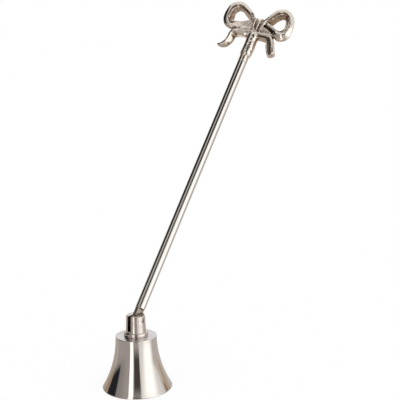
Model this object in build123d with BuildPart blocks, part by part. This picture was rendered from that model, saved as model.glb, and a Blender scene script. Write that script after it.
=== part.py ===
from build123d import *
from math import hypot
import os

# Candle snuffer: a flared bell that stands on its mouth, a slotted neck on its crown,
# and a straight round handle that swings in the neck and ends in a cast ribbon bow.
# Lengths are in millimetres and angles in degrees. The origin is the centre of the
# bell's mouth, Z runs up the bell's axis, and the handle leans towards X.

os.makedirs("parts", exist_ok=True)

# Bell
bell_mouth_radius = 21.0
bell_crown_radius = 12.4
bell_height = 32.2
bell_wall = 3.0
bell_crown_thickness = 3.0
bell_flare_sagitta = 2.2
bell_lip_height = 0.6
bell_crown_round = 0.5
bell_rim_round = 0.4

# Bead ring between the crown and the neck
collar_height = 2.6
collar_foot_radius = 6.8
collar_bead_radius = 7.3
collar_top_radius = 6.3
collar_bead_share = 0.4

# Slotted neck, with the stud that goes down through the collar and the crown
neck_base_radius = 6.1
neck_top_radius = 5.6
neck_height = 10.1
neck_top_round = 0.6
slot_width = 2.6
slot_floor_height = 0.9
pin_drop = 2.8
stud_radius = 2.0
stud_hole_clearance = 0.1
stud_tip_length = 0.8
stud_tip_chamfer = 0.4

# Washer and nut inside the bell
washer_radius = 4.5
washer_thickness = 0.8
nut_across_flats = 7.0
nut_height = 3.2
nut_chamfer = 0.5
nut_thread_clearance = 0.02

# Hinge pin, pressed into the neck and running in the tongue
pin_radius = 1.1
pin_end_recess = 0.15
pin_seat_clearance = 0.01
pin_running_clearance = 0.05

# Tongue of the handle, with the spigot that is pressed into the tube
lean_angle = 36.05
tongue_width = 5.6
tongue_side_clearance = 0.1
shoulder_clearance = 0.54
spigot_length = 12.0
spigot_clearance = 0.02
spigot_chamfer = 0.4

# Handle tube and the plain ferrule at its upper end
tube_radius = 3.0
tube_bore_radius = 2.0
tube_length = 175.7
ferrule_radius = 3.15
ferrule_length = 4.2
ferrule_round = 0.5

# Stem and knot of the bow. The bow is turned about the handle, away from the lean.
bow_turn = -70.5
stem_length = 24.5
stem_foot_radius = 3.15
stem_radius = 3.75
stem_top_radius = 3.5
stem_shoulder_height = 3.0
stem_shoulder_round = 2.0
knot_width = 7.6
knot_radius = 5.0
knot_groove_depth = 0.7
knot_end_radius = 3.6
knot_wraps = 3

# Ribbon of the bow. Its loops and tails are given by the ribbon's middle line.
ribbon_width = 8.0
ribbon_thickness = 3.0
ribbon_round = 0.9
loop_reach = 22.5
loop_rise = 13.4

# Tails of the bow: a flat one that hangs straight, and one on edge that curls outwards
tail_thickness = 5.0
tail_depth = 5.2
tail_round = 0.8
tail_reach = 17.0
tail_drop = 20.0
curl_thickness = 2.6
curl_depth = 6.4
curl_round = 0.8
curl_reach = 19.6
curl_drop = 19.4

# Middle lines, as shares of the reach outwards and of the rise or drop
right_loop_shares = (
    (0.00, 0.12), (0.39, 0.51), (0.70, 0.99), (1.00, 0.38),
    (0.74, -0.28), (0.37, -0.17), (0.00, -0.14),
)
left_loop_shares = (
    (0.00, 0.12), (0.38, 0.55), (0.67, 1.00), (1.00, 0.27),
    (0.91, -0.16), (0.70, -0.29), (0.37, -0.18), (0.00, -0.14),
)
tail_shares = ((0.03, -0.29), (0.37, -0.34), (0.66, -0.43), (0.82, -0.68), (1.00, -1.00))
curl_shares = (
    (0.03, -0.30), (0.40, -0.33), (0.66, -0.44), (0.73, -0.70), (0.81, -0.89), (1.00, -1.00),
)

# Heights and distances that follow from the sizes above
collar_base = bell_height
neck_base = collar_base + collar_height
neck_top = neck_base + neck_height
slot_floor = neck_base + slot_floor_height
pin_height = neck_top - pin_drop
washer_top = bell_height - bell_crown_thickness
nut_top = washer_top - washer_thickness
nut_base = nut_top - nut_height
stud_tip = nut_base - stud_tip_length
stud_hole_radius = stud_radius + stud_hole_clearance
tongue_thickness = slot_width - 2 * tongue_side_clearance
neck_corner_distance = hypot(neck_top_radius, pin_drop)
shoulder_distance = max(neck_corner_distance, neck_base_radius) + shoulder_clearance
spigot_radius = tube_bore_radius - spigot_clearance
ferrule_distance = shoulder_distance + tube_length
stem_distance = ferrule_distance + ferrule_length
knot_distance = stem_distance + stem_length

# The handle's plane stands on the pin axis with its normal along the rod. The swing plane
# holds the rod and the lean, and the bow's plane holds the rod and the bow's width.
handle = Plane(Location((0, 0, pin_height), (0, lean_angle, 0)))
swing = Plane(handle.origin, x_dir=handle.x_dir, z_dir=-handle.y_dir)
rod_axis = Axis(handle.origin, handle.z_dir)
pin_plane = Plane((0, 0, pin_height), x_dir=(1, 0, 0), z_dir=(0, 1, 0))
knot_seat = Plane(handle.offset(knot_distance).location * Location((0, 0, 0), (0, 0, bow_turn)))
bow_front = Plane(knot_seat.origin, x_dir=knot_seat.x_dir, z_dir=-knot_seat.y_dir)
stem_side = Plane(handle.offset(stem_distance).origin, x_dir=handle.x_dir, z_dir=-handle.y_dir)


def middle_line(shares: tuple, reach: float, rise: float) -> list:
    """Return the points of a ribbon's middle line from its shares of reach and rise."""
    return [(reach * across, rise * along) for across, along in shares]


# Bell: one revolved wall, hollow from the mouth up to the crown
with BuildPart() as bell_cup:
    with BuildSketch(Plane.XZ):
        with BuildLine():
            outer_lip = (bell_mouth_radius, bell_lip_height)
            inner_rim = (bell_mouth_radius - bell_wall, 0)
            inner_top = (bell_crown_radius - bell_wall, washer_top)
            Line((bell_mouth_radius, 0), outer_lip)
            SagittaArc(outer_lip, (bell_crown_radius, bell_height), bell_flare_sagitta)
            Line((bell_crown_radius, bell_height), (stud_hole_radius, bell_height))
            Line((stud_hole_radius, bell_height), (stud_hole_radius, washer_top))
            Line((stud_hole_radius, washer_top), inner_top)
            SagittaArc(inner_top, inner_rim, -bell_flare_sagitta)
            Line(inner_rim, (bell_mouth_radius, 0))
        make_face()
    revolve(axis=Axis.Z)
    crown_edge = bell_cup.faces().sort_by(Axis.Z)[-1].outer_wire().edges()
    fillet(crown_edge, bell_crown_round)
    fillet(bell_cup.faces().sort_by(Axis.Z)[0].edges(), bell_rim_round)
bell_cup.part.label = "bell_cup"
export_step(bell_cup.part, "parts/bell_cup.step")

# Collar: a rounded bead that sits on the crown
with BuildPart() as neck_collar:
    with BuildSketch(Plane.XZ):
        with BuildLine():
            bead = (collar_bead_radius, collar_base + collar_bead_share * collar_height)
            ThreePointArc((collar_foot_radius, collar_base), bead, (collar_top_radius, neck_base))
            Line((collar_top_radius, neck_base), (stud_hole_radius, neck_base))
            Line((stud_hole_radius, neck_base), (stud_hole_radius, collar_base))
            Line((stud_hole_radius, collar_base), (collar_foot_radius, collar_base))
        make_face()
    revolve(axis=Axis.Z)
neck_collar.part.label = "neck_collar"
export_step(neck_collar.part, "parts/neck_collar.step")

# Neck: a slightly tapered post with its stud, slotted in the plane of the handle's swing
with BuildPart() as hinge_neck:
    with BuildSketch(Plane.XZ):
        with BuildLine():
            Polyline(
                (0, stud_tip),
                (stud_radius, stud_tip),
                (stud_radius, neck_base),
                (neck_base_radius, neck_base),
                (neck_top_radius, neck_top),
                (0, neck_top),
                close=True,
            )
        make_face()
    revolve(axis=Axis.Z)
    fillet(hinge_neck.faces().sort_by(Axis.Z)[-1].edges(), neck_top_round)
    chamfer(hinge_neck.faces().sort_by(Axis.Z)[0].edges(), stud_tip_chamfer)
    with BuildSketch(Plane.XY.offset(slot_floor)):
        Rectangle(2 * neck_base_radius, slot_width)
    extrude(amount=neck_height, mode=Mode.SUBTRACT)
    with BuildSketch(pin_plane):
        Circle(pin_radius + pin_seat_clearance)
    extrude(amount=neck_base_radius, both=True, mode=Mode.SUBTRACT)
hinge_neck.part.label = "hinge_neck"
export_step(hinge_neck.part, "parts/hinge_neck.step")

# Washer and nut that clamp the stud inside the bell
with BuildPart() as neck_washer:
    with BuildSketch(Plane.XY.offset(nut_top)):
        Circle(washer_radius)
        Circle(stud_hole_radius, mode=Mode.SUBTRACT)
    extrude(amount=washer_thickness)
neck_washer.part.label = "neck_washer"
export_step(neck_washer.part, "parts/neck_washer.step")

with BuildPart() as neck_nut:
    with BuildSketch(Plane.XY.offset(nut_base)):
        RegularPolygon(nut_across_flats / 2, 6, major_radius=False)
        Circle(stud_radius + nut_thread_clearance, mode=Mode.SUBTRACT)
    extrude(amount=nut_height)
    nut_face = neck_nut.faces().sort_by(Axis.Z)[0]
    chamfer(nut_face.outer_wire().edges(), nut_chamfer)
neck_nut.part.label = "neck_nut"
export_step(neck_nut.part, "parts/neck_nut.step")

# Pin: plain, with its ends just below the neck's surface
with BuildPart() as pivot_pin:
    with BuildSketch(pin_plane):
        Circle(pin_radius)
    extrude(amount=neck_top_radius - pin_end_recess, both=True)
pivot_pin.part.label = "pivot_pin"
export_step(pivot_pin.part, "parts/pivot_pin.step")

# Tongue: flat and round-ended in the slot, with a round spigot for the tube
with BuildPart() as hinge_tongue:
    with BuildSketch(swing):
        Circle(tongue_width / 2)
        Rectangle(tongue_width, shoulder_distance, align=(Align.CENTER, Align.MIN))
    extrude(amount=tongue_thickness / 2, both=True)
    with BuildSketch(handle.offset(shoulder_distance)):
        Circle(spigot_radius)
    extrude(amount=spigot_length)
    spigot_end = hinge_tongue.faces().sort_by(rod_axis)[-1]
    chamfer(spigot_end.edges(), spigot_chamfer)
    with BuildSketch(swing):
        Circle(pin_radius + pin_running_clearance)
    extrude(amount=tongue_thickness, both=True, mode=Mode.SUBTRACT)
hinge_tongue.part.label = "hinge_tongue"
export_step(hinge_tongue.part, "parts/hinge_tongue.step")

# Handle tube, from the tongue's shoulder to the ferrule
with BuildPart() as handle_tube:
    with BuildSketch(handle.offset(shoulder_distance)):
        Circle(tube_radius)
        Circle(tube_bore_radius, mode=Mode.SUBTRACT)
    extrude(amount=tube_length)
handle_tube.part.label = "handle_tube"
export_step(handle_tube.part, "parts/handle_tube.step")

# Ferrule: a short sleeve over the bow's spigot
with BuildPart() as finial_ferrule:
    with BuildSketch(handle.offset(ferrule_distance)):
        Circle(ferrule_radius)
        Circle(tube_bore_radius, mode=Mode.SUBTRACT)
    extrude(amount=ferrule_length)
    ferrule_foot = finial_ferrule.faces().sort_by(rod_axis)[0]
    fillet(ferrule_foot.outer_wire().edges(), ferrule_round)
finial_ferrule.part.label = "finial_ferrule"
export_step(finial_ferrule.part, "parts/finial_ferrule.step")

# Loops of the bow: a ribbon on edge that runs level through the knot, bent out and back on each side
with BuildPart() as bow_loops:
    with BuildSketch(bow_front):
        with BuildLine():
            right_line = middle_line(right_loop_shares, loop_reach, loop_rise)
            Spline(*right_line, tangents=((1, 0), (-1, 0)))
        trace(line_width=ribbon_thickness)
        with BuildLine():
            left_line = middle_line(left_loop_shares, -loop_reach, loop_rise)
            Spline(*left_line, tangents=((-1, 0), (1, 0)))
        trace(line_width=ribbon_thickness)
    extrude(amount=ribbon_width / 2, both=True)
    fillet(bow_loops.faces().filter_by(bow_front).edges(), ribbon_round)

# Straight tail, on the right of the bow
with BuildPart() as bow_tail:
    with BuildSketch(bow_front):
        with BuildLine():
            Spline(*middle_line(tail_shares, tail_reach, tail_drop))
        trace(line_width=tail_thickness)
    extrude(amount=tail_depth / 2, both=True)
    fillet(bow_tail.faces().filter_by(bow_front).edges(), tail_round)

# Curled tail, on the left of the bow
with BuildPart() as bow_curl:
    with BuildSketch(bow_front):
        with BuildLine():
            Spline(*middle_line(curl_shares, -curl_reach, curl_drop))
        trace(line_width=curl_thickness)
    extrude(amount=curl_depth / 2, both=True)
    fillet(bow_curl.faces().filter_by(bow_front).edges(), curl_round)

# Bow: wrapped knot, loops, stem with its spigot, and tails in one casting
with BuildPart() as bow_casting:
    with BuildSketch(bow_front):
        with BuildLine():
            wrap_width = knot_width / knot_wraps
            groove_radius = knot_radius - knot_groove_depth
            edge_radii = [knot_end_radius] + [groove_radius] * (knot_wraps - 1) + [knot_end_radius]
            for wrap in range(knot_wraps):
                left = wrap * wrap_width - knot_width / 2
                ThreePointArc(
                    (left, edge_radii[wrap]),
                    (left + wrap_width / 2, knot_radius),
                    (left + wrap_width, edge_radii[wrap + 1]),
                )
            Polyline(
                (-knot_width / 2, knot_end_radius),
                (-knot_width / 2, 0),
                (knot_width / 2, 0),
                (knot_width / 2, knot_end_radius),
            )
        make_face()
    revolve(axis=Axis(bow_front.origin, bow_front.x_dir))
    add(bow_loops.part)
    with BuildSketch(stem_side) as stem_half:
        with BuildLine():
            Polyline(
                (0, -ferrule_length - spigot_length),
                (spigot_radius, -ferrule_length - spigot_length),
                (spigot_radius, 0),
                (stem_foot_radius, 0),
                (stem_radius, stem_shoulder_height),
                (stem_top_radius, stem_length),
                (0, stem_length),
                close=True,
            )
        make_face()
        fillet(stem_half.vertices().sort_by(Axis.X)[-1], stem_shoulder_round)
    revolve(axis=rod_axis)
    add(bow_tail.part)
    add(bow_curl.part)
bow_casting.part.label = "bow_casting"
export_step(bow_casting.part, "parts/bow_casting.step")
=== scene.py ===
"""Candle snuffer with a hinged handle and a cast ribbon bow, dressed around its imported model.

Sizes are in millimetres in the classes below and in metres in the meshes. The origin is the
centre of the bell's mouth, Z runs up the bell's axis, and the handle leans towards X.
"""

import logging
from dataclasses import dataclass, field
from enum import Enum
from functools import cache
from typing import Optional, Sequence

import bmesh
import bpy
import numpy as np
from mathutils import Matrix


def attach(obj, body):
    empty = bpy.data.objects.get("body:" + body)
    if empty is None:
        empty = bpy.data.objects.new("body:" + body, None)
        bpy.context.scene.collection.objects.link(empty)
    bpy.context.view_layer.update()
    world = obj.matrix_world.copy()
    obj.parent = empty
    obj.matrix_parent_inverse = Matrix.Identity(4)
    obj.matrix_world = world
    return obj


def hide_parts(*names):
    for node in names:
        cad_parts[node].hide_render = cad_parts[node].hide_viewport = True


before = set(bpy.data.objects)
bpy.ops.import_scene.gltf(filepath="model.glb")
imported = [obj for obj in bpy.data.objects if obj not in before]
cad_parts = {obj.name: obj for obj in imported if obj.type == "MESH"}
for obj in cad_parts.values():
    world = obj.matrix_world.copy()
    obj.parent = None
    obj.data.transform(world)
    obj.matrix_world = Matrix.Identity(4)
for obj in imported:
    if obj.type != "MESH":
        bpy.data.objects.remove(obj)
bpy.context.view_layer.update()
LOG = logging.getLogger("snuffer")
MM = 0.001


class Body(Enum):
    """The two rigid bodies that the hinge joins."""

    BELL = "bell"
    HANDLE = "handle"


class Slot(Enum):
    """The pieces' material slots."""

    NICKEL_BRASS = "nickel_brass"
    NICKEL_ALUMINIUM = "nickel_aluminium"
    CAST_ALUMINIUM = "cast_aluminium"
    PLAIN_STEEL = "plain_steel"


class Grain(Enum):
    """The way that a tool's marks run over a surface."""

    ROUND_THE_BELL = "round"
    ALONG_THE_ROD = "along"


# Colour, nodes and meshes


def linear(hex_colour: str) -> tuple[float, float, float, float]:
    """Turn an sRGB hex colour to linear light.

    Args:
        hex_colour: Six hex digits after a hash.

    Returns:
        Red, green, blue and an alpha of one.
    """
    srgb = np.array([int(hex_colour[k:k + 2], 16) for k in (1, 3, 5)]) / 255.0
    light = np.where(srgb <= 0.04045, srgb / 12.92, ((srgb + 0.055) / 1.055) ** 2.4)
    return (*light.tolist(), 1.0)


def add_node(
    tree: bpy.types.NodeTree,
    kind: str,
    settings: Optional[dict] = None,
    values: Optional[dict] = None,
    links: Optional[dict] = None,
) -> bpy.types.Node:
    """Add one node with its settings, its unlinked values and its incoming links.

    Args:
        tree: The node tree that takes the node.
        kind: The node's type name.
        settings: Attributes of the node itself.
        values: Default values by input name or number.
        links: Source sockets by input name or number.

    Returns:
        The new node.
    """
    made = tree.nodes.new(kind)
    for name, value in (settings or {}).items():
        setattr(made, name, value)
    for name, value in (values or {}).items():
        made.inputs[name].default_value = value
    for name, source in (links or {}).items():
        tree.links.new(source, made.inputs[name])
    return made


def new_material(name: str) -> tuple[bpy.types.Material, bpy.types.NodeTree]:
    """Make an empty node material.

    Args:
        name: The material's name.

    Returns:
        The material and its node tree.
    """
    made = bpy.data.materials.new(name)
    made.use_nodes = True
    made.node_tree.nodes.clear()
    return made, made.node_tree


def grid_faces(rows: int, columns: int, wrap_rows: bool) -> np.ndarray:
    """Quads of a grid of points whose columns close on themselves.

    Args:
        rows: Points along the first parameter.
        columns: Points round the second parameter.
        wrap_rows: Whether the last row joins the first.

    Returns:
        One row of four point numbers per quad.
    """
    first = np.arange(rows if wrap_rows else rows - 1)
    i, j = (k.ravel() for k in np.meshgrid(first, np.arange(columns), indexing="ij"))
    below, beside = (i + 1) % rows, (j + 1) % columns
    corners = (i * columns + j, below * columns + j, below * columns + beside, i * columns + beside)
    return np.stack(corners, axis=1)


def closed_tube(rings: np.ndarray) -> tuple[np.ndarray, list]:
    """Skin a stack of closed rings and close its two ends with fans.

    Args:
        rings: Points as rings by points per ring by three.

    Returns:
        Points and faces.
    """
    rows, columns, _ = rings.shape
    quads = grid_faces(rows, columns, wrap_rows=False)
    points = np.concatenate([rings.reshape(-1, 3), rings[[0, -1]].mean(axis=1)])
    turn = np.arange(columns)
    beside = (turn + 1) % columns
    start = np.stack([np.full(columns, rows * columns), turn, beside], axis=1)
    last = (rows - 1) * columns
    end = np.stack([np.full(columns, rows * columns + 1), last + beside, last + turn], axis=1)
    return points, quads.tolist() + start.tolist() + end.tolist()


def outward(points: np.ndarray, faces: list) -> list:
    """Turn a closed skin's faces outwards, by the sign of the volume that they enclose.

    Args:
        points: Points of the skin.
        faces: Faces as lists of point numbers.

    Returns:
        The faces, reversed if they enclosed a negative volume.
    """
    corners = np.array([f[:3] for f in faces])
    rest = np.array([(f[0], f[2], f[3]) for f in faces if len(f) == 4])
    tris = np.concatenate([corners, rest]) if len(rest) else corners
    a, b, c = (points[tris[:, k]] for k in range(3))
    volume = np.einsum("ij,ij->i", a, np.cross(b, c)).sum()
    return faces if volume > 0 else [f[::-1] for f in faces]


def new_piece(
    name: str,
    points: np.ndarray,
    faces: list,
    material: bpy.types.Material,
) -> bpy.types.Object:
    """Put a skin into a smooth-shaded object at the origin.

    Args:
        name: The piece's name.
        points: Points in metres.
        faces: Faces as lists of point numbers.
        material: The piece's finish.

    Returns:
        The new object, linked to the scene.
    """
    mesh = bpy.data.meshes.new(name)
    mesh.from_pydata(points.tolist(), [], faces)
    mesh.polygons.foreach_set("use_smooth", np.ones(len(mesh.polygons), bool))
    mesh.materials.append(material)
    mesh.update()
    made = bpy.data.objects.new(name, mesh)
    bpy.context.scene.collection.objects.link(made)
    return made


def enlist(piece: bpy.types.Object, body: Body, slot: Slot, *nodes: str) -> None:
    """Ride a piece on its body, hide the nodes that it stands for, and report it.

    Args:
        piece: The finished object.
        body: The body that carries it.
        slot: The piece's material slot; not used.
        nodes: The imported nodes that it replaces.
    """
    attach(piece, body.value)
    if nodes:
        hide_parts(*nodes)
    LOG.info("%s rides on %s: %d faces", piece.name, body.value, len(piece.data.polygons))


# Curves


def smooth_run(stations: Sequence[Sequence[float]], count: int) -> np.ndarray:
    """Run a natural cubic through stations, by the chord length of their first two columns.

    The second derivatives at the stations solve the usual three-term equations, and each
    column is then the cubic that they give between its two neighbours.

    Args:
        stations: Rows of values, the first two of which are a place in a plane.
        count: Samples along the run.

    Returns:
        The samples, one row each, evenly spaced by chord length.
    """
    rows = np.asarray(stations, float)
    at = np.r_[0, np.cumsum(np.hypot(*np.diff(rows[:, :2], axis=0).T))]
    gap = np.diff(at)
    inner = np.arange(1, len(rows) - 1)
    system = np.eye(len(rows))
    system[inner, inner - 1] = gap[:-1]
    system[inner, inner] = 2 * (gap[:-1] + gap[1:])
    system[inner, inner + 1] = gap[1:]
    bend = np.zeros_like(rows)
    bend[1:-1] = 6 * np.diff(np.diff(rows, axis=0) / gap[:, None], axis=0)
    bend = np.linalg.solve(system, bend)
    place = np.linspace(0, at[-1], count)
    k = np.clip(np.searchsorted(at, place, side="right") - 1, 0, len(gap) - 1)
    after = (place - at[k])[:, None]
    before = (at[k + 1] - place)[:, None]
    span = gap[k][:, None]
    cubic = (bend[k] * before**3 + bend[k + 1] * after**3) / (6 * span)
    low = (rows[k] / span - bend[k] * span / 6) * before
    high = (rows[k + 1] / span - bend[k + 1] * span / 6) * after
    return cubic + low + high


def arc(start: Sequence[float], end: Sequence[float], sagitta: float, count: int) -> np.ndarray:
    """Points of a circle's arc that bulges to the left of its chord by its sagitta.

    Args:
        start: First point.
        end: Last point.
        sagitta: Height of the arc over the chord, negative to bulge to the right.
        count: Points on the arc.

    Returns:
        The points, ends included.
    """
    a, b = np.asarray(start, float), np.asarray(end, float)
    chord = b - a
    length = np.hypot(*chord)
    left = np.array([-chord[1], chord[0]]) / length
    radius = (length**2 / 4 + sagitta**2) / (2 * sagitta)
    centre = (a + b) / 2 + left * (sagitta - radius)
    half = np.arcsin(length / 2 / abs(radius))
    turn = np.linspace(-half, half, count)
    rise = np.cos(turn) * radius
    along = np.sin(turn) * abs(radius)
    return centre + rise[:, None] * left + along[:, None] * chord / length


def straight(start: Sequence[float], end: Sequence[float], step: float) -> np.ndarray:
    """Points along a straight run, no further apart than a step.

    Args:
        start: First point.
        end: Last point.
        step: Widest spacing.

    Returns:
        The points, ends included.
    """
    a, b = np.asarray(start, float), np.asarray(end, float)
    count = max(2, int(np.ceil(np.hypot(*(b - a)) / step)) + 1)
    return a + np.linspace(0, 1, count)[:, None] * (b - a)


def trimmed(run: np.ndarray, cut: float) -> np.ndarray:
    """Cut a length off the start of a run of points.

    Args:
        run: The points.
        cut: Length to take off.

    Returns:
        The run from the cut on, with a point at the cut itself.
    """
    at = np.r_[0, np.cumsum(np.hypot(*np.diff(run, axis=0).T))]
    point = [np.interp(cut, at, run[:, k]) for k in range(2)]
    return np.vstack([point, run[at > cut + 1e-9]])


def rounded_loop(runs: Sequence[np.ndarray], rounds: Sequence[float], steps: int = 6) -> np.ndarray:
    """Join runs to one closed profile and round each corner between them.

    A corner of round r is cut back by r on both sides and bridged by the parabola that is
    tangent to both runs there.

    Args:
        runs: Runs of points, each starting where the one before ends.
        rounds: For each run, the round of the corner at its end.
        steps: Points on each round.

    Returns:
        The profile's points, without the repeated first one.
    """
    share = np.linspace(0, 1, steps + 2)[1:-1, None]
    pieces = []
    for k, run in enumerate(runs):
        kept = trimmed(run, rounds[k - 1]) if rounds[k - 1] else run
        kept = trimmed(kept[::-1], rounds[k])[::-1] if rounds[k] else kept
        following = runs[(k + 1) % len(runs)]
        pieces.append(kept)
        if rounds[k]:
            a, corner = kept[-1], run[-1]
            b = trimmed(following, rounds[k])[0]
            pieces.append((1 - share) ** 2 * a + 2 * share * (1 - share) * corner + share**2 * b)
    loop = np.vstack(pieces)
    far = np.hypot(*(loop - np.roll(loop, 1, axis=0)).T) > 1e-6
    return loop[far]


@dataclass(frozen=True)
class Axle:
    """A turning axis, as an origin and three unit directions in the model's frame."""

    origin: np.ndarray
    across: np.ndarray
    beside: np.ndarray
    along: np.ndarray

    def place(self, x: np.ndarray, y: np.ndarray, z: np.ndarray) -> np.ndarray:
        """Place local millimetres in the model's frame, in metres."""
        local = x[..., None] * self.across + y[..., None] * self.beside + z[..., None] * self.along
        return (self.origin + local) * MM

    def lathe(self, loop: np.ndarray, segments: int) -> tuple[np.ndarray, list]:
        """Turn a closed profile of radius and height about the axis.

        Each profile point runs round a circle of its radius at its height, so the skin closes
        both ways and has no poles.

        Args:
            loop: Radius and height of each profile point.
            segments: Points round the axis.

        Returns:
            Points and faces.
        """
        turn = np.linspace(0, 2 * np.pi, segments, endpoint=False)
        radius, height = loop[:, :1], loop[:, 1:]
        rings = self.place(radius * np.cos(turn), radius * np.sin(turn), height + 0 * turn)
        points = rings.reshape(-1, 3)
        faces = grid_faces(len(loop), segments, wrap_rows=True).tolist()
        return points, outward(points, faces)


@dataclass(frozen=True)
class Layout:
    """Where the hinge, the rod and the bow stand."""

    pin_height: float = 42.1
    lean: float = 36.05
    bow_turn: float = -70.5
    knot_distance: float = 211.2

    def bell_axle(self) -> Axle:
        """The bell's upright axis from the centre of its mouth."""
        return Axle(np.zeros(3), *np.eye(3))

    def rod_axle(self) -> Axle:
        """Find the rod's axis from the hinge pin.

        Returns:
            The axis, leaning in the plane of the slot.
        """
        lean = np.radians(self.lean)
        across = np.array([np.cos(lean), 0, -np.sin(lean)])
        along = np.array([np.sin(lean), 0, np.cos(lean)])
        return Axle(np.array([0, 0, self.pin_height]), across, np.array([0.0, 1, 0]), along)

    def bow_axle(self) -> Axle:
        """Find the bow's axes at its knot.

        Returns:
            The bow's right, its front and the rod's direction.
        """
        rod = self.rod_axle()
        turn = np.radians(self.bow_turn)
        right = np.cos(turn) * rod.across + np.sin(turn) * rod.beside
        front = np.cross(right, rod.along)
        return Axle(rod.origin + self.knot_distance * rod.along, right, front, rod.along)


# Finishes


@dataclass(frozen=True)
class PolishedNickel:
    """Nickel plate on a turned or drawn metal, polished on a wheel.

    It mirrors the room with a warm grey, softened across fine marks that run with the grain.
    """

    name: str
    bright: str = "#D6D1CC"
    worn: str = "#CAC4BD"
    roughness: tuple[float, float] = (0.045, 0.085)
    grain: Grain = Grain.ROUND_THE_BELL
    mark_spacing: float = 0.9
    mark_depth: float = 0.004
    mark_stretch: float = 60.0
    smudge_size: float = 9.0
    lean: float = 36.05

    @cache
    def material(self) -> bpy.types.Material:
        """Make the finish: polishing marks as bump, and faint smudges in gloss and colour.

        Returns:
            The node material.
        """
        made, tree = new_material(self.name)
        place = add_node(tree, "ShaderNodeTexCoord")
        fine = 1 / (self.mark_spacing * MM)
        slow = fine / self.mark_stretch
        scale = (slow, slow, fine) if self.grain is Grain.ROUND_THE_BELL else (fine, fine, slow)
        tilt = 0.0 if self.grain is Grain.ROUND_THE_BELL else -np.radians(self.lean)
        turned = add_node(
            tree, "ShaderNodeMapping", {"vector_type": "POINT"},
            {"Rotation": (0, tilt, 0)}, {"Vector": place.outputs["Object"]},
        )
        drawn = add_node(
            tree, "ShaderNodeMapping", {}, {"Scale": scale}, {"Vector": turned.outputs["Vector"]}
        )
        marks = add_node(
            tree, "ShaderNodeTexNoise", {}, {"Scale": 1.0, "Detail": 3.0, "Roughness": 0.55},
            {"Vector": drawn.outputs["Vector"]},
        )
        bump = add_node(
            tree, "ShaderNodeBump", {}, {"Strength": 1.0, "Distance": self.mark_depth * MM},
            {"Height": marks.outputs["Fac"]},
        )
        smudge = add_node(
            tree, "ShaderNodeTexNoise", {},
            {"Scale": 1 / (self.smudge_size * MM), "Detail": 4.0, "Roughness": 0.6},
            {"Vector": place.outputs["Object"]},
        )
        gloss = add_node(
            tree, "ShaderNodeMapRange", {},
            {"From Min": 0.3, "From Max": 0.7, "To Min": self.roughness[0], "To Max": self.roughness[1]},
            {"Value": smudge.outputs["Fac"]},
        )
        colour = add_node(
            tree, "ShaderNodeMix", {"data_type": "RGBA"},
            {6: linear(self.bright), 7: linear(self.worn)},
            {0: smudge.outputs["Fac"]},
        )
        shader = add_node(
            tree, "ShaderNodeBsdfPrincipled", {}, {"Metallic": 1.0},
            {
                "Base Color": colour.outputs[2],
                "Roughness": gloss.outputs["Result"],
                "Normal": bump.outputs["Normal"],
            },
        )
        add_node(tree, "ShaderNodeOutputMaterial", {}, {}, {"Surface": shader.outputs["BSDF"]})
        return made


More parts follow.
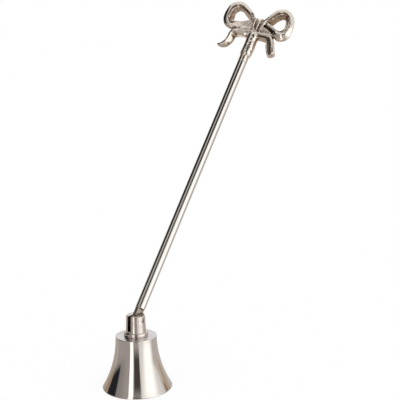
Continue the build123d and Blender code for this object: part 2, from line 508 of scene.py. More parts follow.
@dataclass(frozen=True)
class CastNickel:
    """Nickel plate on a sand casting that was tumbled and lightly polished.

    High places are bright, the skin is softly pitted, and recesses are darker by their ambient occlusion:
    painted shade together with a brown patina.
    """

    name: str = "cast_nickel_tumbled"
    bright: str = "#DAD0C5"
    dull_and_shaded: str = "#A98F77"
    stain_and_shade: str = "#76665A"
    roughness: tuple[float, float, float] = (0.18, 0.36, 0.6)
    pit_size: float = 1.5
    pit_depth: float = 0.07
    recess_reach: float = 12.0
    groove_reach: float = 2.0
    recess_span: tuple[float, float] = (0.42, 0.95)
    groove_span: tuple[float, float] = (0.46, 0.90)
    blotch: float = 0.36
    near_others: bool = False

    @cache
    def material(self) -> bpy.types.Material:
        """Make the finish: pits as bump, and painted shade with a brown patina from ambient occlusion,
        duller in wide recesses and darkest in narrow ones.

        Returns:
            The node material.
        """
        made, tree = new_material(self.name)
        place = add_node(tree, "ShaderNodeTexCoord")
        pits = add_node(
            tree, "ShaderNodeTexNoise", {},
            {"Scale": 1 / (self.pit_size * MM), "Detail": 3.0, "Roughness": 0.5},
            {"Vector": place.outputs["Object"]},
        )
        bump = add_node(
            tree, "ShaderNodeBump", {}, {"Strength": 1.0, "Distance": self.pit_depth * MM},
            {"Height": pits.outputs["Fac"]},
        )
        blotch = add_node(
            tree, "ShaderNodeMath", {"operation": "MULTIPLY_ADD"},
            {1: self.blotch, 2: -self.blotch / 2}, {0: pits.outputs["Fac"]},
        )
        # Painted shade with patina: the colour darkens with ambient occlusion, in wide recesses and more
        # so in narrow grooves.
        wide = self.openness(tree, self.recess_reach, self.recess_span, blotch.outputs["Value"])
        narrow = self.openness(tree, self.groove_reach, self.groove_span, blotch.outputs["Value"])
        skin = add_node(
            tree, "ShaderNodeMix", {"data_type": "RGBA"},
            {6: linear(self.dull_and_shaded), 7: linear(self.bright)}, {0: wide},
        )
        colour = add_node(
            tree, "ShaderNodeMix", {"data_type": "RGBA"}, {6: linear(self.stain_and_shade)},
            {0: narrow, 7: skin.outputs[2]},
        )
        smooth = add_node(
            tree, "ShaderNodeMapRange", {},
            {"To Min": self.roughness[1], "To Max": self.roughness[0]}, {"Value": wide},
        )
        gloss = add_node(
            tree, "ShaderNodeMapRange", {}, {"To Min": self.roughness[2]},
            {"Value": narrow, "To Max": smooth.outputs["Result"]},
        )
        shader = add_node(
            tree, "ShaderNodeBsdfPrincipled", {}, {"Metallic": 1.0},
            {
                "Base Color": colour.outputs[2],
                "Roughness": gloss.outputs["Result"],
                "Normal": bump.outputs["Normal"],
            },
        )
        add_node(tree, "ShaderNodeOutputMaterial", {}, {}, {"Surface": shader.outputs["BSDF"]})
        return made

    def openness(
        self,
        tree: bpy.types.NodeTree,
        reach: float,
        span: tuple[float, float],
        blotch: bpy.types.NodeSocket,
    ) -> bpy.types.NodeSocket:
        """Tell open skin from recesses.

        Args:
            tree: The finish's node tree.
            reach: How far the form is looked at, in millimetres.
            span: The occlusion at which a recess counts as closed, and as open.
            blotch: A pattern that breaks the edge.

        Returns:
            Zero in a recess, one in the open.
        """
        air = add_node(
            tree, "ShaderNodeAmbientOcclusion",
            {"samples": 8, "only_local": not self.near_others}, {"Distance": reach * MM},
        )
        ragged = add_node(
            tree, "ShaderNodeMath", {"operation": "ADD"}, {}, {0: air.outputs["AO"], 1: blotch}
        )
        made = add_node(
            tree, "ShaderNodeMapRange", {"interpolation_type": "SMOOTHSTEP"},
            {"From Min": span[0], "From Max": span[1]}, {"Value": ragged.outputs["Value"]},
        )
        return made.outputs["Result"]


# Pieces of the bell


@dataclass
class Bell:
    """The turned bell: a flared wall, a flat crown and the stud's hole through it."""

    mouth_radius: float = 21.0
    crown_radius: float = 12.4
    height: float = 32.2
    wall: float = 3.0
    crown_thickness: float = 3.0
    sagitta: float = 2.2
    lip_height: float = 0.6
    crown_round: float = 0.45
    rim_round: float = 0.35
    inner_round: float = 1.2
    lip_round: float = 0.2
    hole_round: float = 0.15
    hole_radius: float = 2.1
    step: float = 0.5
    wall_points: int = 70
    segments: int = 256

    def profile(self) -> np.ndarray:
        """Draw the wall's closed profile, from the crown down the outside and up the inside.

        Returns:
            Radius and height of each profile point.
        """
        top, ceiling = self.height, self.height - self.crown_thickness
        crown, lip = (self.crown_radius, top), (self.mouth_radius, self.lip_height)
        foot, inner_foot = (self.mouth_radius, 0.0), (self.mouth_radius - self.wall, 0.0)
        inner_top = (self.crown_radius - self.wall, ceiling)
        runs = [
            arc(crown, lip, -self.sagitta, self.wall_points),
            straight(lip, foot, self.step / 2),
            straight(foot, inner_foot, self.step),
            arc(inner_foot, inner_top, self.sagitta, self.wall_points),
            straight(inner_top, (self.hole_radius, ceiling), self.step),
            straight((self.hole_radius, ceiling), (self.hole_radius, top), self.step),
            straight((self.hole_radius, top), crown, self.step),
        ]
        rounds = [
            self.lip_round, self.rim_round, self.rim_round, self.inner_round,
            self.hole_round, self.hole_round, self.crown_round,
        ]
        return rounded_loop(runs, rounds)

    def build(self, axle: Axle, finish: PolishedNickel, crown: PolishedNickel) -> None:
        """Turn the bell and dress it.

        Args:
            axle: The bell's axis.
            finish: Its plate.
            crown: The plate of its flat crown.
        """
        points, faces = axle.lathe(self.profile(), self.segments)
        piece = new_piece("bell_shell", points, faces, finish.material())
        piece.data.materials.append(crown.material())
        low = points[np.array(faces), 2].min(axis=1)
        on_crown = low > (self.height - self.crown_round / 4) * MM
        piece.data.polygons.foreach_set("material_index", on_crown.astype(np.int32))
        enlist(piece, Body.BELL, Slot.NICKEL_BRASS, "bell_cup")


@dataclass
class NeckCollar:
    """The banded collar between the crown and the neck."""

    base: float = 32.2
    height: float = 2.6
    foot_radius: float = 7.2
    bead_sagitta: float = 0.15
    top_radius: float = 6.95
    crest_round: float = 0.6
    foot_round: float = 0.2
    hole_round: float = 0.1
    hole_radius: float = 2.1
    step: float = 0.4
    bead_points: int = 24
    segments: int = 160

    def build(self, axle: Axle, finish: PolishedNickel) -> None:
        """Turn the collar and dress it.

        Args:
            axle: The bell's axis.
            finish: Its plate.
        """
        top = self.base + self.height
        foot, rim = (self.foot_radius, self.base), (self.top_radius, top)
        runs = [
            arc(rim, foot, self.bead_sagitta, self.bead_points),
            straight(foot, (self.hole_radius, self.base), self.step),
            straight((self.hole_radius, self.base), (self.hole_radius, top), self.step),
            straight((self.hole_radius, top), rim, self.step),
        ]
        rounds = [self.foot_round, self.hole_round, self.hole_round, self.crest_round]
        points, faces = axle.lathe(rounded_loop(runs, rounds), self.segments)
        piece = new_piece("collar_bead", points, faces, finish.material())
        enlist(piece, Body.BELL, Slot.NICKEL_BRASS, "neck_collar")


@dataclass
class SmoothCopy:
    """A smooth-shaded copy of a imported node, with its edges eased as a file or a tumbler does."""

    node: str
    name: str
    body: Body
    slot: Slot
    edge_round: float = 0.15
    crease: float = 32.0
    merge: float = 0.002
    flatness: float = 0.4
    slot_half_width: float = 0.0
    slot_floor: float = 0.0
    bore_height: float = 0.0
    bore_radius: float = 0.0

    def build(
        self,
        finish: PolishedNickel | CastNickel,
        tarnish_and_shade: Optional[PolishedNickel] = None,
    ) -> None:
        """Merge the copy's loose triangles, shade it by its creases and dress it.

        Args:
            finish: Its plate.
            tarnish_and_shade: The dark finish in the slot and the pin's bores, if it has them: painted
                shade along with tarnishing.
        """
        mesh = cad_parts[self.node].data.copy()
        mesh.name = self.name
        work = bmesh.new()
        work.from_mesh(mesh)
        bmesh.ops.remove_doubles(work, verts=work.verts, dist=self.merge * MM)
        flat = np.radians(self.flatness)
        bmesh.ops.dissolve_limit(work, angle_limit=flat, verts=work.verts, edges=work.edges)
        work.to_mesh(mesh)
        work.free()
        packed = mesh.attributes.get("custom_normal")
        if packed is not None:
            mesh.attributes.remove(packed)
        mesh.polygons.foreach_set("use_smooth", np.ones(len(mesh.polygons), bool))
        mesh.set_sharp_from_angle(angle=np.radians(self.crease))
        mesh.materials.clear()
        mesh.materials.append(finish.material())
        # Faces in the slot and the bores take the dark finish: painted shade with tarnishing.
        if tarnish_and_shade is not None:
            mesh.materials.append(tarnish_and_shade.material())
            mesh.polygons.foreach_set("material_index", self.recessed(mesh).astype(np.int32))
        piece = bpy.data.objects.new(self.name, mesh)
        bpy.context.scene.collection.objects.link(piece)
        eased = piece.modifiers.new("eased_edges", "BEVEL")
        eased.width = self.edge_round * MM
        eased.segments = 3
        eased.limit_method = "ANGLE"
        eased.angle_limit = np.radians(self.crease)
        eased.harden_normals = True
        enlist(piece, self.body, self.slot, self.node)

    def recessed(self, mesh: bpy.types.Mesh) -> np.ndarray:
        """Find the faces of the slot's walls and floor and of the pin's bores.

        Args:
            mesh: The merged copy.

        Returns:
            One flag per face.
        """
        middle, facing = np.zeros(3 * len(mesh.polygons)), np.zeros(3 * len(mesh.polygons))
        mesh.polygons.foreach_get("center", middle)
        mesh.polygons.foreach_get("normal", facing)
        middle, facing = middle.reshape(-1, 3) / MM, facing.reshape(-1, 3)
        square_on, side_on, slack, bore_slack = 0.98, 0.1, 0.05, 0.03
        between = np.abs(middle[:, 1]) < self.slot_half_width
        between &= middle[:, 2] > self.slot_floor - slack
        wall = np.abs(facing[:, 1]) > square_on
        floor = (facing[:, 2] > square_on) & (middle[:, 2] < self.slot_floor + slack)
        off_pin = np.hypot(middle[:, 0], middle[:, 2] - self.bore_height)
        bore = (off_pin < self.bore_radius + bore_slack) & (np.abs(facing[:, 1]) < side_on)
        return (between & (wall | floor)) | bore


@dataclass
class HingePin:
    """The pin across the neck, its ends a little below the neck's surface."""

    height: float = 42.1
    radius: float = 1.1
    half_length: float = 5.4
    end_round: float = 0.22
    flat_share: float = 0.55
    pole_radius: float = 0.02
    step: float = 0.3
    segments: int = 64

    def build(self, finish: PolishedNickel) -> None:
        """Turn the pin about its axis across the neck and dress it.

        Args:
            finish: Its steel.
        """
        right, away, up = np.eye(3)
        axle = Axle(self.height * up, up, right, away)
        rise = np.linspace(0, 1, 6)
        shoulder = self.radius - self.end_round * (1 - np.sqrt(1 - rise**2))
        out = self.half_length - self.end_round * (1 - rise)
        flat = [[self.flat_share * self.radius, self.half_length], [self.pole_radius, self.half_length]]
        top = np.vstack([np.stack([shoulder, out], axis=1), flat])
        body = straight((self.radius, -out[0]), (self.radius, out[0]), self.step)[1:-1]
        profile = np.vstack([top[::-1] * [1, -1], body, top])
        turn = np.linspace(0, 2 * np.pi, self.segments, endpoint=False)[None, :]
        radius, along = profile[:, :1], profile[:, 1:]
        rings = axle.place(radius * np.cos(turn), radius * np.sin(turn), along + 0 * turn)
        points, faces = closed_tube(rings)
        piece = new_piece("hinge_pin", points, outward(points, faces), finish.material())
        enlist(piece, Body.BELL, Slot.PLAIN_STEEL, "pivot_pin")


# Pieces of the handle


@dataclass
class Rod:
    """The round tube of the handle and the ferrule at its upper end."""

    start: float = 6.801
    length: float = 175.7
    radius: float = 3.0
    bore_radius: float = 2.0
    end_round: float = 0.25
    ferrule_length: float = 4.2
    ferrule_radius: float = 3.1
    ferrule_round: float = 0.45
    step: float = 0.6
    segments: int = 112

    def sleeve(self, low: float, high: float, radius: float, rounds: Sequence[float]) -> np.ndarray:
        """Closed profile of a plain sleeve.

        Args:
            low: Where it starts along the rod.
            high: Where it ends.
            radius: Its outer radius.
            rounds: Corner rounds: outer foot, inner foot, inner top, outer top.

        Returns:
            Radius and distance of each profile point.
        """
        runs = [
            straight((radius, high), (radius, low), self.step),
            straight((radius, low), (self.bore_radius, low), self.step / 4),
            straight((self.bore_radius, low), (self.bore_radius, high), 4 * self.step),
            straight((self.bore_radius, high), (radius, high), self.step / 4),
        ]
        return rounded_loop(runs, rounds)

    def build(self, axle: Axle, tube: PolishedNickel, cast: CastNickel) -> None:
        """Turn the tube and the ferrule and dress them.

        Args:
            axle: The rod's axis.
            tube: The tube's plate.
            cast: The ferrule's plate, which matches the bow.
        """
        top = self.start + self.length
        rounds = [self.end_round, 0.0, 0.0, self.end_round]
        points, faces = axle.lathe(self.sleeve(self.start, top, self.radius, rounds), self.segments)
        piece = new_piece("rod_tube", points, faces, tube.material())
        enlist(piece, Body.HANDLE, Slot.NICKEL_ALUMINIUM, "handle_tube")
        rounds = [self.ferrule_round, 0.0, 0.0, self.end_round]
        loop = self.sleeve(top, top + self.ferrule_length, self.ferrule_radius, rounds)
        points, faces = axle.lathe(loop, self.segments)
        piece = new_piece("rod_ferrule", points, faces, cast.material())
        enlist(piece, Body.HANDLE, Slot.NICKEL_ALUMINIUM, "finial_ferrule")


@dataclass
class Ribbon:
    """One run of the bow's ribbon, carried along a line in the bow's plane.

    Each station gives the place to the right and up the rod, the ribbon's thickness, its depth
    from front to back, and its flare in degrees, by which the front edge leans outwards.
    """

    stations: Sequence[Sequence[float]]
    outer: int = 1
    shift: float = 0.0
    squareness: float = 4.6
    groove: float = 0.0
    groove_width: float = 1.1
    groove_place: float = 0.0
    rim_groove: float = 0.0
    rim_width: float = 1.3
    rim_softness: float = 0.6
    rim_share: float = 1.0
    rim_fade: float = 0.06
    tip_round: float = 0.0
    tip_floor: float = 0.0004
    count: int = 260
    around: int = 96

    def skin(self, axle: Axle) -> tuple[np.ndarray, list]:
        """Carry a squared oval along the run.

        The section is a superellipse: its thickness goes with the signed power of the cosine
        and its depth with that of the sine. One groove sinks the front by a bell curve over
        the thickness, the other sinks the inner face behind the front rim. At a round tip
        both sizes shrink as a quarter circle.

        Args:
            axle: The bow's axes.

        Returns:
            Points and faces.
        """
        run = smooth_run(self.stations, self.count)
        u, v, thick, deep, flare = (run[:, k, None] for k in range(5))
        du, dv = np.gradient(u[:, 0]), np.gradient(v[:, 0])
        size = np.hypot(du, dv) * self.outer
        nu, nv = (-dv / size)[:, None], (du / size)[:, None]
        if self.tip_round:
            travel = np.r_[0, np.cumsum(np.hypot(np.diff(u[:, 0]), np.diff(v[:, 0])))]
            left = np.clip((travel[-1] - travel) / self.tip_round, 0, 1)[:, None]
            shrink = np.sqrt(np.clip(1 - (1 - left) ** 2, self.tip_floor, 1))
            thick, deep = thick * shrink, deep * np.sqrt(shrink)
        turn = np.linspace(0, 2 * np.pi, self.around, endpoint=False)
        power = 2 / self.squareness
        c, s = np.cos(turn), np.sin(turn)
        across = thick / 2 * np.sign(c) * np.abs(c) ** power
        front = deep / 2 * np.sign(s) * np.abs(s) ** power
        dip = np.exp(-(((across - self.groove_place) / self.groove_width) ** 2)) * (front > 0)
        rim = np.exp(-(((front - deep / 2 + self.rim_width) / self.rim_softness) ** 2)) * (across < 0)
        left_over = self.rim_share - np.linspace(0, 1, self.count)
        rim *= np.clip(left_over / self.rim_fade, 0, 1)[:, None]
        front, across = front - self.groove * dip, across + self.rim_groove * rim
        lean = np.radians(flare)
        out = across * np.cos(lean) + front * np.sin(lean)
        ahead = front * np.cos(lean) - across * np.sin(lean) + self.shift
        points, faces = closed_tube(axle.place(u + out * nu, ahead, v + out * nv))
        return points, outward(points, faces)


@dataclass(frozen=True)
class Strand:
    """One turn of the knot: its place along the bow's width, its fan up the rod and its width."""

    place: float
    fan: float
    half_width: float
    rows: int = 96
    around: int = 32

    def skin(self, axle: Axle, height: float, depth: float, relief: float) -> tuple[np.ndarray, list]:
        """Wind an oval round an ellipse in the plane of the rod and the front.

        Args:
            axle: The bow's axes.
            height: Half of the turn's height up the rod.
            depth: Half of its depth from front to back.
            relief: Half of the strand's own height.

        Returns:
            Points and faces.
        """
        turn = np.linspace(0, 2 * np.pi, self.rows, endpoint=False)[:, None]
        swing = np.linspace(0, 2 * np.pi, self.around, endpoint=False)[None, :]
        lift = relief * np.cos(swing)
        up, front = (height + lift) * np.cos(turn), (depth + lift) * np.sin(turn)
        side = self.place + self.half_width * np.sin(swing) + self.fan * up
        points = axle.place(side, front, up).reshape(-1, 3)
        faces = grid_faces(self.rows, self.around, wrap_rows=True).tolist()
        return points, outward(points, faces)


@dataclass
class Bow:
    """The cast bow: two ribbon loops, two tails, a wrapped knot and the stem, in one skin."""

    right_loop: Ribbon = field(default_factory=lambda: Ribbon([
        (0.0, 0.9, 2.4, 4.2, 2), (4.1, 2.6, 2.6, 5.4, 4), (7.0, 5.0, 2.9, 8.0, 6),
        (9.3, 8.0, 3.1, 8.4, 8), (12.0, 11.3, 3.4, 8.2, 8), (16.4, 12.4, 3.7, 8.0, 10),
        (20.2, 8.7, 4.2, 8.4, 26), (21.4, 2.9, 4.6, 8.8, 34), (21.1, -0.6, 4.8, 9.2, 40),
        (20.0, -2.8, 6.0, 9.8, 50), (17.8, -3.2, 6.4, 10.2, 52), (14.9, -2.0, 3.2, 9.8, 22),
        (11.6, -0.8, 2.5, 9.6, 4), (7.5, 0.7, 2.4, 9.0, 0), (4.3, 1.4, 2.2, 6.0, 0),
        (0.0, 1.4, 2.0, 4.2, 0),
    ], rim_groove=1.3, rim_share=0.62, shift=-0.3))
    left_loop: Ribbon = field(default_factory=lambda: Ribbon([
        (0.0, 0.9, 2.4, 4.2, 6), (-1.7, 2.2, 2.6, 5.2, 8), (-4.9, 5.2, 3.0, 9.0, 9),
        (-10.2, 9.6, 3.4, 8.4, 8), (-16.1, 12.6, 3.9, 7.6, 5), (-20.6, 9.9, 3.7, 8.0, 10),
        (-21.4, 4.3, 4.0, 8.4, 19), (-20.8, 0.0, 4.2, 8.2, 27), (-18.8, -2.2, 4.0, 7.8, 42),
        (-16.9, -2.6, 3.8, 7.0, 58), (-14.4, -2.3, 3.4, 6.5, 76), (-11.5, -2.1, 2.9, 6.4, 90),
        (-8.4, -1.4, 2.6, 7.0, 98), (-4.6, -0.7, 2.6, 7.8, 98), (-1.5, -1.0, 2.5, 6.6, 92),
        (1.0, -1.1, 2.4, 5.4, 80),
    ], outer=-1, rim_groove=1.3, rim_share=0.6, shift=-0.3))
    right_tail: Ribbon = field(default_factory=lambda: Ribbon([
        (0.0, -6.4, 4.2, 5.2, 0), (4.0, -7.4, 4.6, 5.6, 0), (8.0, -7.6, 4.8, 5.8, 0),
        (11.0, -8.2, 5.1, 6.0, 0), (13.0, -10.3, 5.5, 6.0, 0), (14.2, -13.2, 5.8, 6.0, 0),
        (15.6, -16.8, 5.8, 5.8, 0), (17.4, -20.4, 5.2, 5.4, 0),
    ], groove=1.9, groove_width=0.65, groove_place=-0.8, tip_round=1.8))
    left_tail: Ribbon = field(default_factory=lambda: Ribbon([
        (0.0, -6.2, 3.8, 6.4, 6), (-4.0, -7.4, 4.4, 6.8, 12), (-8.0, -7.6, 4.4, 7.0, 12),
        (-11.2, -7.9, 4.0, 6.8, 0), (-13.6, -9.0, 3.1, 6.2, -30), (-14.4, -12.0, 3.0, 5.6, -40),
        (-15.0, -15.0, 3.0, 5.6, -40), (-16.2, -17.4, 2.8, 5.0, -32), (-18.2, -19.0, 2.3, 4.0, -14),
        (-20.4, -19.4, 1.5, 2.8, 0), (-21.6, -19.0, 0.9, 2.0, 0),
    ], tip_round=0.6))
    right_web: Ribbon = field(default_factory=lambda: Ribbon([
        (0.0, -2.2, 5.0, 4.4, -18), (6.0, -2.8, 5.0, 4.4, -24), (10.0, -4.4, 4.2, 4.4, -24),
        (14.0, -6.2, 2.6, 4.0, -18),
    ], shift=0.2))
    left_web: Ribbon = field(default_factory=lambda: Ribbon([
        (0.0, -3.4, 4.0, 4.0, 0), (-6.0, -3.6, 4.0, 4.0, 0), (-11.0, -4.2, 3.6, 4.0, 0),
        (-14.0, -4.8, 2.4, 3.6, 0),
    ], shift=-1.0))
    strands: Sequence[Strand] = (
        Strand(-1.2, 0.0, 0.8), Strand(1.8, 0.11, 1.0), Strand(5.0, 0.28, 1.1),
    )
    strand_height: float = 4.5
    strand_depth: float = 3.1
    strand_relief: float = 1.3
    core_height: float = 4.3
    core_depth: float = 2.8
    core_half_width: float = 3.5
    core_place: float = 1.8
    core_fan: float = 0.16
    core_rows: int = 40
    around: int = 72
    stem_around: int = 96
    stem: Sequence[tuple[float, float]] = (
        (2.0, -40.6), (2.0, -24.7), (3.05, -24.5), (3.3, -23.9), (3.75, -22.9), (3.95, -21.6),
        (3.95, -18.0), (3.85, -13.0), (3.75, -8.6), (3.45, -6.8), (2.6, -5.2), (2.2, 0.0),
    )
    stem_offset: float = 0.4
    stem_level: tuple[float, float] = (-24.4, -20.0)
    voxel: float = 0.255
    soften: int = 2
    soften_factor: float = 0.5
    dent_count: int = 700
    dent_radius: tuple[float, float] = (0.7, 1.7)
    dent_depth: tuple[float, float] = (0.05, 0.20)
    dent_fall: float = 1.6
    plain_below: float = -24.0
    seed: int = 7

    def core_skin(self, axle: Axle) -> tuple[np.ndarray, list]:
        """Fill the strands with a plain oval barrel about the bow's width.

        Args:
            axle: The bow's axes.

        Returns:
            Points and faces.
        """
        across = np.linspace(-1, 1, self.core_rows)[:, None]
        turn = np.linspace(0, 2 * np.pi, self.around, endpoint=False)[None, :]
        up = self.core_height * np.cos(turn) + 0 * across
        front = self.core_depth * np.sin(turn) + 0 * across
        side = self.core_place + self.core_half_width * across + self.core_fan * up
        points, faces = closed_tube(axle.place(side, front, up))
        return points, outward(points, faces)

    def stem_skin(self, axle: Axle) -> tuple[np.ndarray, list]:
        """Turn the stem and its spigot about the rod's axis, as rings up its profile.

        Args:
            axle: The bow's axes.

        Returns:
            Points and faces.
        """
        profile = np.asarray(self.stem, float)
        turn = np.linspace(0, 2 * np.pi, self.stem_around, endpoint=False)[None, :]
        radius, height = profile[:, :1], profile[:, 1:]
        aside = self.stem_offset * np.clip(
            (height - self.stem_level[0]) / (self.stem_level[1] - self.stem_level[0]), 0, 1
        )
        rings = axle.place(aside + radius * np.cos(turn), radius * np.sin(turn), height + 0 * turn)
        points, faces = closed_tube(rings)
        return points, outward(points, faces)

    def fuse(self, skins: Sequence[tuple[np.ndarray, list]]) -> tuple[np.ndarray, list, np.ndarray]:
        """Run overlapping skins together into one, and soften it as a mould does.

        Args:
            skins: Points and faces of each closed skin.

        Returns:
            Points, faces and outward normals of the one skin.
        """
        offsets = np.cumsum([0] + [len(p) for p, _ in skins[:-1]])
        points = np.concatenate([p for p, _ in skins])
        faces = [[k + start for k in f] for (_, part), start in zip(skins, offsets) for f in part]
        mesh = bpy.data.meshes.new("bow_rough")
        mesh.from_pydata(points.tolist(), [], faces)
        rough = bpy.data.objects.new("bow_rough", mesh)
        bpy.context.scene.collection.objects.link(rough)
        remesh = rough.modifiers.new("one_skin", "REMESH")
        remesh.mode = "VOXEL"
        remesh.voxel_size = self.voxel * MM
        smooth = rough.modifiers.new("mould", "SMOOTH")
        smooth.factor = self.soften_factor
        smooth.iterations = self.soften
        graph = bpy.context.evaluated_depsgraph_get()
        made = bpy.data.meshes.new_from_object(rough.evaluated_get(graph))
        place = np.zeros(3 * len(made.vertices))
        made.vertices.foreach_get("co", place)
        normals = np.zeros(3 * len(made.vertices))
        made.vertex_normals.foreach_get("vector", normals)
        skin = [list(f.vertices) for f in made.polygons]
        bpy.data.objects.remove(rough)
        bpy.data.meshes.remove(mesh)
        bpy.data.meshes.remove(made)
        return place.reshape(-1, 3), skin, normals.reshape(-1, 3)

    def dented(self, points: np.ndarray, normals: np.ndarray, axle: Axle) -> np.ndarray:
        """Press shallow round dents into the skin, as on a tumbled casting.

        Each dent moves the skin inwards by its depth times a bell curve of the distance from
        its centre. The spigot inside the rod stays plain.

        Args:
            points: Points of the skin, in metres.
            normals: Outward normals.
            axle: The bow's axes.

        Returns:
            The moved points.
        """
        draw = np.random.default_rng(self.seed)
        shown = np.flatnonzero((points / MM - axle.origin) @ axle.along > self.plain_below)
        centres = points[draw.choice(shown, self.dent_count, replace=False)]
        radii = draw.uniform(*self.dent_radius, self.dent_count) * MM
        depths = draw.uniform(*self.dent_depth, self.dent_count) * MM
        sink = np.zeros(len(points))
        for centre, radius, depth in zip(centres, radii, depths):
            far = ((points - centre) ** 2).sum(axis=1)
            sink = np.maximum(sink, depth * np.exp(-far / radius**2 * self.dent_fall))
        return points - sink[:, None] * normals

    def build(self, axle: Axle, finish: CastNickel) -> None:
        """Fuse the bow's runs, dent the skin and dress it.

        Args:
            axle: The bow's axes.
            finish: Its plate.
        """
        ribbons = (
            self.right_loop, self.left_loop, self.right_tail, self.left_tail,
            self.right_web, self.left_web,
        )
        skins = [ribbon.skin(axle) for ribbon in ribbons]
        turn = (self.strand_height, self.strand_depth, self.strand_relief)
        skins += [strand.skin(axle, *turn) for strand in self.strands]
        skins += [self.core_skin(axle), self.stem_skin(axle)]
        points, faces, normals = self.fuse(skins)
        points = self.dented(points, normals, axle)
        piece = new_piece("ribbon_bow", points, faces, finish.material())
        enlist(piece, Body.HANDLE, Slot.CAST_ALUMINIUM, "bow_casting")


# Studio


@dataclass(frozen=True)
class Card:
    """A studio card or softbox that only mirrors in the metal: a patch of a sphere round the object.

    Bearings run from the camera's side, positive to the picture's right, in degrees.
    """

    name: str
    bearing: tuple[float, float]
    rise: tuple[float, float]
    colour: str
    strength: float
    soft: tuple[float, float] = (4.0, 4.0)
    distance: float = 1.6
    shear: float = 0.0
    grid: int = 61
    centre: tuple[float, float, float] = (0.02, 0.0, 0.06)

    def build(self, camera_bearing: float) -> None:
        """Make the patch with an edge that fades, and hide it from all but mirrored rays.

        The fade is the product of smooth steps from the four edges, kept per point.

        Args:
            camera_bearing: The camera's bearing about Z, in degrees.
        """
        steps = np.linspace(0, 1, self.grid)
        s, t = steps[:, None], steps[None, :]
        rise = np.radians(self.rise[0] + (self.rise[1] - self.rise[0]) * t) + 0 * s
        swing = self.bearing[0] + (self.bearing[1] - self.bearing[0]) * s + self.shear * (t - 0.5)
        bearing = np.radians(swing + camera_bearing)
        flat = self.distance * np.cos(rise)
        high = self.distance * np.sin(rise)
        points = np.stack([flat * np.cos(bearing), flat * np.sin(bearing), high], -1)
        wide = self.bearing[1] - self.bearing[0]
        tall = self.rise[1] - self.rise[0]
        edge_s = np.clip(np.minimum(s, 1 - s) * wide / self.soft[0], 0, 1)
        edge_t = np.clip(np.minimum(t, 1 - t) * tall / self.soft[1], 0, 1)
        fade = (edge_s**2 * (3 - 2 * edge_s)) * (edge_t**2 * (3 - 2 * edge_t))
        k = np.arange(self.grid**2).reshape(self.grid, self.grid)
        quads = np.stack([k[:-1, :-1], k[1:, :-1], k[1:, 1:], k[:-1, 1:]], -1).reshape(-1, 4)
        made, tree = new_material(self.name)
        veil = add_node(tree, "ShaderNodeAttribute", {"attribute_name": "veil"})
        glow = add_node(
            tree, "ShaderNodeEmission", {}, {"Color": linear(self.colour), "Strength": self.strength}
        )
        clear = add_node(tree, "ShaderNodeBsdfTransparent")
        mixed = add_node(
            tree, "ShaderNodeMixShader", {}, {},
            {0: veil.outputs["Fac"], 1: clear.outputs["BSDF"], 2: glow.outputs["Emission"]},
        )
        add_node(tree, "ShaderNodeOutputMaterial", {}, {}, {"Surface": mixed.outputs["Shader"]})
        card = new_piece(self.name, points.reshape(-1, 3) + np.array(self.centre), quads.tolist(), made)
        layer = card.data.attributes.new("veil", "FLOAT", "POINT")
        layer.data.foreach_set("value", fade.ravel().astype(np.float32))
        card.visible_camera = False
        card.visible_diffuse = False
        card.visible_shadow = False


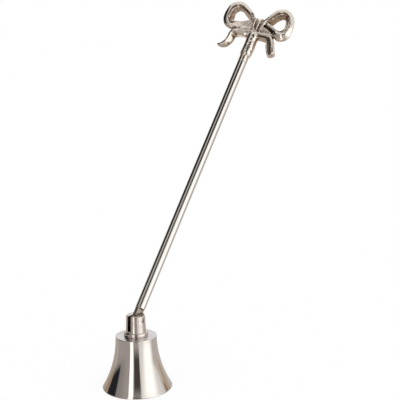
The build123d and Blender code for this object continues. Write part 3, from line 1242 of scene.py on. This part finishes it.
@dataclass
class Studio:
    """White room, pale floor, cards that the metal mirrors, and the camera."""

    eye: tuple[float, float, float] = (-361.6, -351.4, 209.5)
    right: tuple[float, float, float] = (0.63618, -0.77138, -0.01597)
    up: tuple[float, float, float] = (0.15439, 0.10699, 0.98220)
    ahead: tuple[float, float, float] = (0.75594, 0.62731, -0.18716)
    lens: float = 79.28
    sensor: float = 36.0
    floor_radius: float = 30.0
    floor_lift: float = 0.85
    floor_rings: int = 40
    floor_segments: int = 96
    cards: Sequence[Card] = (
        Card("grey_wall", (-120, 22), (-50, 46), "#FDF5F0", 0.49, (12, 8), 6.6),
        Card("grey_far", (-130, -36), (-10, 42), "#FDF5F2", 0.34, (40, 12), 6.5),
        Card("upper_wall", (-88, 34), (40, 65), "#FFFFFF", 0.56, (6, 5), 6.8),
        Card("strip_light", (-30.5, -12.5), (-50, 43), "#FFFFFF", 1.8, (1.5, 5), 6.0),
        Card("camera_side", (-11, 17), (-18, 41), "#FFF4EA", 0.08, (3, 18), 5.6),
        Card("dark_ceiling", (-30, 54), (41, 70), "#FFF0E4", 0.04, (16, 6), 5.5),
        Card("dark_beam", (-26, 13), (33, 52), "#FFF0E4", 0.05, (11, 6), 5.4),
        Card("key_softbox", (22, 94), (-36, 50), "#FFFFFF", 1.72, (28, 26), 6.0, -28.0),
        Card("black_flag", (-114, -76), (-5, 30), "#E4E6FF", 0.03, (4, 7), 5.6),
        Card("rod_flag", (-146, -76), (12, 66), "#FFF0E0", 0.02, (4, 6), 5.7),
        Card("back_flag", (-174, -132), (28, 58), "#FFF0E0", 0.10, (6, 8), 5.8),
        Card("warm_wall", (-168, -110), (-50, 14), "#F4E6DA", 0.62, (12, 8), 6.4),
        Card("tan_board", (-134, -106), (-9, 11), "#FFE2C6", 0.44, (8, 7), 6.0),
        Card("brown_board", (96, 142), (-14, 26), "#FFF2E6", 0.74, (14, 10), 6.2),
        Card("brown_low", (113, 142), (-13, 13), "#FFE8D2", 0.60, (9, 8), 5.9),
        Card("brown_edge", (108, 123), (4, 19), "#FFDCBE", 0.34, (5, 6), 5.6),
        Card("low_right", (60, 172), (-50, 4), "#FFFAF6", 0.66, (12, 8), 6.6),
        Card("table_side", (-180, 180), (-89, -44), "#F2E6DA", 0.55, (0.1, 8), 6.9),
    )

    def build(self) -> None:
        """Set the world, the floor, the cards and the camera."""
        scene = bpy.context.scene
        scene.view_settings.view_transform = "Standard"
        world = bpy.data.worlds.new("white_room")
        world.use_nodes = True
        world.node_tree.nodes.clear()
        tree = world.node_tree
        white = {"Color": linear("#FFFFFF"), "Strength": 1.0}
        sky = add_node(tree, "ShaderNodeBackground", {}, white)
        add_node(tree, "ShaderNodeOutputWorld", {}, {}, {"Surface": sky.outputs["Background"]})
        scene.world = world
        self.floor()
        bearing = np.degrees(np.arctan2(-self.ahead[1], -self.ahead[0]))
        for card in self.cards:
            card.build(bearing)
        self.camera()

    def floor(self) -> None:
        """Lay a round pale floor that keeps the shadow and isn't mirrored."""
        rows, columns = self.floor_rings, self.floor_segments
        radius = np.linspace(0.001, 1, rows)[:, None] ** 2 * self.floor_radius
        turn = np.linspace(0, 2 * np.pi, columns, endpoint=False)[None, :]
        rings = np.stack([radius * np.cos(turn), radius * np.sin(turn), 0 * radius * turn], -1)
        points = np.concatenate([rings.reshape(-1, 3), np.zeros((1, 3))])
        faces = grid_faces(rows, columns, wrap_rows=False).tolist()
        k = np.arange(columns)
        faces += np.stack([np.full(columns, rows * columns), k, (k + 1) % columns], axis=1).tolist()
        made, tree = new_material("matt_white_paper")
        paper = add_node(
            tree, "ShaderNodeBsdfDiffuse", {}, {"Color": linear("#FFFFFF"), "Roughness": 0.6}
        )
        white = add_node(tree, "ShaderNodeEmission", {}, {"Color": linear("#FFFFFF"), "Strength": 1.0})
        path = add_node(tree, "ShaderNodeLightPath")
        lift = add_node(
            tree, "ShaderNodeMath", {"operation": "MULTIPLY"}, {1: self.floor_lift},
            {0: path.outputs["Is Camera Ray"]},
        )
        mixed = add_node(
            tree, "ShaderNodeMixShader", {}, {},
            {0: lift.outputs["Value"], 1: paper.outputs["BSDF"], 2: white.outputs["Emission"]},
        )
        add_node(tree, "ShaderNodeOutputMaterial", {}, {}, {"Surface": mixed.outputs["Shader"]})
        floor = new_piece("floor", points, faces, made)
        floor.visible_glossy = False

    def camera(self) -> None:
        """Stand the camera where the photograph was taken from."""
        data = bpy.data.cameras.new("camera")
        data.lens = self.lens
        data.sensor_width = self.sensor
        data.clip_start, data.clip_end = 0.01, 100.0
        made = bpy.data.objects.new("camera", data)
        bpy.context.scene.collection.objects.link(made)
        axes = np.array([self.right, self.up, [-k for k in self.ahead]]).T
        pose = np.eye(4)
        pose[:3, :3] = axes
        pose[:3, 3] = np.array(self.eye) * MM
        made.matrix_world = Matrix(pose.tolist())
        bpy.context.scene.camera = made


def main() -> None:
    """Build the studio and then each piece from the bell up, and note the sizes."""
    logging.basicConfig(level=logging.INFO, format="%(message)s")
    layout = Layout()
    Studio().build()
    # Turned and wheel-polished: a clear mirror with faint rings round the bell.
    turned = PolishedNickel("nickel_turned_polished")
    # Small parts polished by hand: a softer mirror with smudges.
    small = PolishedNickel(
        "nickel_neck_polished", "#D4CEC7", "#BFB5AB", (0.14, 0.26), mark_spacing=0.5, mark_depth=0.006,
        smudge_size=2.5,
    )
    # Brushed in circles: it spreads the room to an even pale grey.
    brushed = PolishedNickel("nickel_crown_brushed", "#DCD8D8", "#D2CCCC", (0.26, 0.34), mark_spacing=0.5)
    # Drawn and polished along its length: long clear stripes.
    drawn = PolishedNickel(
        "nickel_drawn_polished", grain=Grain.ALONG_THE_ROD, mark_spacing=0.6, mark_depth=0.001,
        roughness=(0.04, 0.07),
    )
    # Bare steel out of sight: duller and without the nickel's warmth.
    steel = PolishedNickel("steel_plain", bright="#BDBDBE", worn="#A9A8A6", roughness=(0.25, 0.35))
    cast = CastNickel()
    Bell().build(layout.bell_axle(), turned, brushed)
    NeckCollar().build(layout.bell_axle(), small)
    neck = SmoothCopy(
        "hinge_neck", "neck_post", Body.BELL, Slot.NICKEL_BRASS,
        slot_half_width=1.31, slot_floor=35.7, bore_height=42.1, bore_radius=1.11,
    )
    # Unpolished plate that handling never reaches: darker and rougher, its dark brown painted shade in
    # the slot and the bores along with tarnishing.
    neck.build(small, PolishedNickel("nickel_slot_tarnished_and_shaded", "#74645A", "#5E5046", (0.4, 0.6)))
    # Ground flat and polished with the neck: as bright as the plate round it.
    ground = PolishedNickel("steel_pin_polished", "#D2CCC6", "#C6BEB6", (0.12, 0.20), mark_spacing=0.5)
    HingePin().build(ground)
    SmoothCopy("neck_washer", "stud_washer", Body.BELL, Slot.PLAIN_STEEL).build(steel)
    SmoothCopy("neck_nut", "stud_nut", Body.BELL, Slot.PLAIN_STEEL).build(steel)
    # Filed and only lightly polished: satin, with painted shade where it enters the slot, darkened by
    # ambient occlusion from the neck.
    filed = CastNickel(
        "nickel_tongue_filed", "#CBBFB3", "#AC9C8E", "#5E5046", (0.34, 0.46, 0.6), pit_size=0.9,
        pit_depth=0.01, recess_reach=4.0, groove_reach=1.8, near_others=True,
    )
    SmoothCopy("hinge_tongue", "rod_tongue", Body.HANDLE, Slot.NICKEL_BRASS, edge_round=0.35).build(filed)
    Rod().build(layout.rod_axle(), drawn, cast)
    Bow().build(layout.bow_axle(), cast)


if __name__ == "__main__":
    main()
